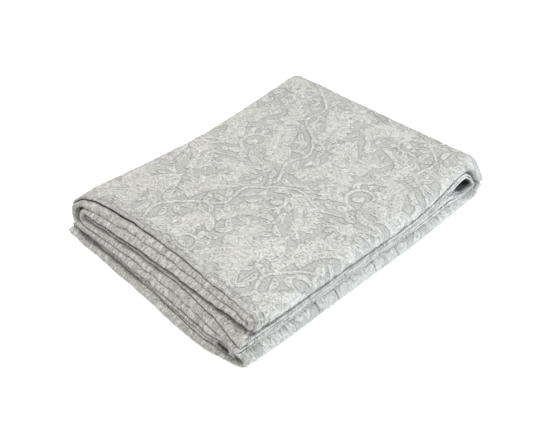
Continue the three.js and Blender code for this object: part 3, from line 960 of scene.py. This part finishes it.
def washed_cotton(colours):
    """Woven and washed matelasse cotton: matt, a little fuzzy, puckered between its stitches"""
    material, tree = new_material("washed_matelasse_cotton")
    place = node(tree, "TexCoord", out="Object")
    weave = {}
    for name in ("edge", "vein", "nerve", "mouth", "painted_shade"):
        weave["at_" + name] = node(tree, "Attribute", {"attribute_name": name}, out="Fac")
    for name, (size, detail) in MOTTLES.items():
        weave[name] = node(tree, "TexNoise", Vector=place, Scale=1000 / size, Detail=detail)
    # Short knobs run in from the edges at the open end
    ribs = node(tree, "Mapping", Vector=node(tree, "UVMap", {"uv_map": "cloth"}),
                Scale=(1000 / RIB_WIDTH, 1000 / RIB_LENGTH, 1.0))
    weave["rib"] = node(tree, "TexNoise", {"noise_dimensions": "2D"}, Vector=ribs, Scale=1.0,
                        Detail=2.0, Distortion=0.9)
    # Soft steps: of what, from and to, and the values there
    steps_of_weave = {
        "slub": ("slub", 0.3, 0.7, 0.0, 1.0),
        "fuzz": ("fuzz", 0.32, 0.68, 0.0, 1.0),
        "broken": ("broken", 0.42, 0.55, 0.0, 1.0),
        "drawn_in": ("drawn_in", 0.35, 0.6, 0.25, 1.0),
        "rib": ("rib", 0.33, 0.62, 0.0, 1.0),
        "rib_line": ("at_vein", 1.1, 0.3, 0.0, 1.0),
        # Painted shade: the cloth's tone drops to 12 % where the shade is full
        "light": ("at_painted_shade", 0.0, 1.0, 1.0, 0.12),
    }
    for name, (source, low, high, start, end) in steps_of_weave.items():
        weave[name] = node(tree, "MapRange", SOFT, Value=weave[source], From_Min=low,
                           From_Max=high, To_Min=start, To_Max=end)
    # The outlines waver, and everything inside a leaf follows them
    waver = node(tree, "Math", TIMES_PLUS, i0=weave["slub"], i1=WAVER, i2=-WAVER / 2)
    edge = node(tree, "Math", {"operation": "ADD"}, i0=weave["at_edge"], i1=waver)
    border = node(tree, "Math", {"operation": "ABSOLUTE"}, i0=edge)
    for name, value, low, high in (
        ("inside", edge, 0.5, -0.8), ("in_leaf", edge, -0.5, -1.4), ("border", border, 1.0, 0.2),
    ):
        weave[name] = node(tree, "MapRange", SOFT, Value=value, From_Min=low, From_Max=high)
    # Rows of stitches follow the side veins and the outlines, broken where a slub lies over them
    for name, value in (("side_vein", weave["at_nerve"]), ("echo", edge)):
        turns = node(tree, "Math", TIMES, i0=value, i1=2 * math.pi / STITCHES[name])
        wave = node(tree, "Math", {"operation": "SINE"}, i0=turns)
        row = node(tree, "MapRange", SOFT, Value=wave, From_Min=0.3, From_Max=0.95)
        row = node(tree, "Math", TIMES, i0=row, i1=weave["in_leaf"])
        weave[name] = node(tree, "Math", TIMES, i0=row, i1=weave["broken"])
    for name, pattern, share in (
        ("groove", "border", "drawn_in"),
        ("vein", "rib_line", "in_leaf"),
        ("knob", "rib", "at_mouth"),
    ):
        weave[name] = node(tree, "Math", TIMES, i0=weave[pattern], i1=weave[share])
    weave["mouth"] = weave["at_mouth"]

    # These tones carry painted shade in the grooves, veins, stitch rows and knob gaps, and partly
    # in the low places of slub and fuzz
    tone, height = PLAIN_TONE, 0.0
    for name, share in TONE.items():
        tone = node(tree, "Math", TIMES_PLUS, i0=weave[name], i1=share, i2=tone)
    for name, share in HEIGHT.items():
        height = node(tree, "Math", TIMES_PLUS, i0=weave[name], i1=share, i2=height)
    # Painted shade darkens the tone here: inside the folds, between the sheets, in the creases and
    # in the pockets
    tone = node(tree, "Math", TIMES, i0=tone, i1=weave["light"])
    colour = node(tree, "Mix", {"data_type": "RGBA"}, out=2, Factor=weave["inside"],
                  i6=colours.ground, i7=colours.raised)
    shade = node(tree, "VectorMath", {"operation": "SCALE"}, i0=colour, Scale=tone)
    bump = node(tree, "Bump", Height=height, Strength=1.0, Distance=0.001)
    shader = node(tree, "BsdfPrincipled", Base_Color=shade, Roughness=0.95, Normal=bump,
                  Sheen_Weight=0.25, Sheen_Roughness=0.5, Specular_IOR_Level=0.15)
    node(tree, "OutputMaterial", Surface=shader)
    return material


def white_paper(colours):
    """Matt white paper sweep: pale, with only a soft contact shadow"""
    material, tree = new_material("matt_white_paper")
    grain = node(tree, "TexNoise", Vector=node(tree, "TexCoord", out="Object"), Scale=33.0)
    bump = node(tree, "Bump", Height=grain, Strength=0.05, Distance=0.0002)
    shader = node(tree, "BsdfPrincipled", Base_Color=colours.floor, Roughness=0.9, Normal=bump,
                  Emission_Color=colours.floor, Emission_Strength=0.3)
    node(tree, "OutputMaterial", Surface=shader)
    return material


class ThrowSettings(bpy.types.PropertyGroup):
    """Sizes of the throw's cloth"""

    relief: bpy.props.FloatProperty(
        name="Relief", description="Height of the woven figure over its ground",
        default=0.00075, min=0.0, max=0.0015, precision=5, unit="LENGTH")
    crown: bpy.props.FloatProperty(
        name="Crown", description="How far the middle of the stack stands above its sides",
        default=0.0025, min=0.0, max=0.005, precision=4, unit="LENGTH")
    hem_swell: bpy.props.FloatProperty(
        name="Hem Swell", description="How much thicker the hems are than the cloth",
        default=0.5, min=0.0, max=1.0, subtype="FACTOR")
    fold_swell: bpy.props.FloatProperty(
        name="Fold Swell", description="How far the folds at the open end swell into drops",
        default=0.5, min=0.0, max=1.0, subtype="FACTOR")


class ThrowColours(bpy.types.PropertyGroup):
    """Colours of the throw and of what it lies on"""

    ground: bpy.props.FloatVectorProperty(
        name="Ground", description="Colour of the low ground weave",
        default=linear("#B3B2AC"), min=0.0, max=1.0, size=4, subtype="COLOR")
    raised: bpy.props.FloatVectorProperty(
        name="Raised", description="Colour of the raised figure",
        default=linear("#CFCDC6"), min=0.0, max=1.0, size=4, subtype="COLOR")
    floor: bpy.props.FloatVectorProperty(
        name="Floor", description="Colour of the paper that the throw lies on",
        default=linear("#FAFAFA"), min=0.0, max=1.0, size=4, subtype="COLOR")


class THROW_OT_blanket(bpy.types.Operator):
    """Cut, fold and finish the throw's cloth"""

    bl_idname = "throw.blanket"
    bl_label = "Folded Blanket"

    def execute(self, context):
        mesh = bpy.data.meshes.new("folded_blanket_cloth")
        bm = bmesh.new()
        cut_cloth(bm)
        bmesh.ops.recalc_face_normals(bm, faces=bm.faces[:])
        bm.to_mesh(mesh)
        bm.free()
        fold_cloth(mesh, context.scene.throw_settings)
        mesh.shade_smooth()
        mesh.materials.append(washed_cotton(context.scene.throw_colours))
        cloth = bpy.data.objects.new("folded_blanket_cloth", mesh)
        context.scene.collection.objects.link(cloth)
        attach(cloth, "root")
        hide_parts("folded_blanket")
        return {"FINISHED"}


FLOOR_SIZE, FLOOR_GAP = 6.0, 0.0003  # half its side, and how far it lies below the throw
# The photograph's camera: its focal length and frame in pixels, its place and its turn in degrees
FOCAL_PIXELS, FRAME_PIXELS, SENSOR = 909.0, 533.0, 36.0
CAMERA_PLACE, CAMERA_TURN = (-0.61482, -0.59993, 0.673), (52.0, 0.0, -45.0)
SKY_COLOUR, SKY_STRENGTH = "#FBFBFF", 0.5
# Each lamp: its place, what it aims at, its power in watts, its size and its colour
LAMPS = {
    "key": ((0.05, 1.25, 2.1), (0, 0, 0), 45, 0.6, "#FFFEFA"),
    "glow": ((-0.35, -0.3, 0.6), (-0.1, -0.05, 0), 1.25, 0.3, "#FFFEFA"),
    "fill": ((0.75, -1.3, 0.55), (0, 0, 0.03), 24.5, 0.9, "#E6F3FF"),
}


class THROW_OT_stage(bpy.types.Operator):
    """Lay the floor, the lights and the camera"""

    bl_idname = "throw.stage"
    bl_label = "Stage"

    def execute(self, context):
        scene = context.scene
        mesh = bpy.data.meshes.new("floor")
        bm = bmesh.new()
        bmesh.ops.create_grid(bm, x_segments=1, y_segments=1, size=FLOOR_SIZE)
        bmesh.ops.translate(bm, verts=bm.verts, vec=(0, 0, -FLOOR_GAP))
        bm.to_mesh(mesh)
        bm.free()
        mesh.materials.append(white_paper(scene.throw_colours))
        floor = bpy.data.objects.new("floor", mesh)
        scene.collection.objects.link(floor)

        camera = bpy.data.objects.new("camera", bpy.data.cameras.new("camera"))
        camera.data.lens = FOCAL_PIXELS / FRAME_PIXELS * SENSOR
        camera.data.sensor_width = SENSOR
        camera.data.clip_start = 0.01
        camera.location = CAMERA_PLACE
        camera.rotation_euler = [math.radians(turn) for turn in CAMERA_TURN]
        scene.collection.objects.link(camera)
        scene.camera = camera

        scene.world = bpy.data.worlds.new("studio")
        scene.world.use_nodes = True
        sky = scene.world.node_tree.nodes["Background"]
        sky.inputs["Color"].default_value = linear(SKY_COLOUR)
        sky.inputs["Strength"].default_value = SKY_STRENGTH
        for name, (place, aim, power, size, colour) in LAMPS.items():
            light = bpy.data.lights.new(name, "AREA")
            light.energy, light.size, light.color = power, size, linear(colour)[:3]
            lamp = bpy.data.objects.new(name, light)
            lamp.location = place
            towards = Vector(aim) - Vector(place)
            lamp.rotation_euler = towards.to_track_quat("-Z", "Y").to_euler()
            scene.collection.objects.link(lamp)
        scene.view_settings.view_transform = "Standard"
        return {"FINISHED"}


class THROW_PT_panel(bpy.types.Panel):
    """The throw's pieces, sizes and colours"""

    bl_idname = "THROW_PT_panel"
    bl_label = "Folded Throw Blanket"
    bl_space_type = "VIEW_3D"
    bl_region_type = "UI"
    bl_category = "Throw"

    def draw(self, context):
        layout = self.layout
        layout.operator(THROW_OT_blanket.bl_idname)
        layout.operator(THROW_OT_stage.bl_idname)
        for group in (context.scene.throw_settings, context.scene.throw_colours):
            for name in type(group).__annotations__:
                layout.prop(group, name)


CLASSES = (ThrowSettings, ThrowColours, THROW_OT_blanket, THROW_OT_stage, THROW_PT_panel)


def register():
    """Adds the classes and the scene's settings"""
    for cls in CLASSES:
        bpy.utils.register_class(cls)
    bpy.types.Scene.throw_settings = bpy.props.PointerProperty(type=ThrowSettings)
    bpy.types.Scene.throw_colours = bpy.props.PointerProperty(type=ThrowColours)


def unregister():
    """Takes them away again"""
    del bpy.types.Scene.throw_colours
    del bpy.types.Scene.throw_settings
    for cls in reversed(CLASSES):
        bpy.utils.unregister_class(cls)


def main():
    """Makes the throw and its stage"""
    register()
    bpy.ops.throw.blanket()
    bpy.ops.throw.stage()


if __name__ == "__main__":
    main()
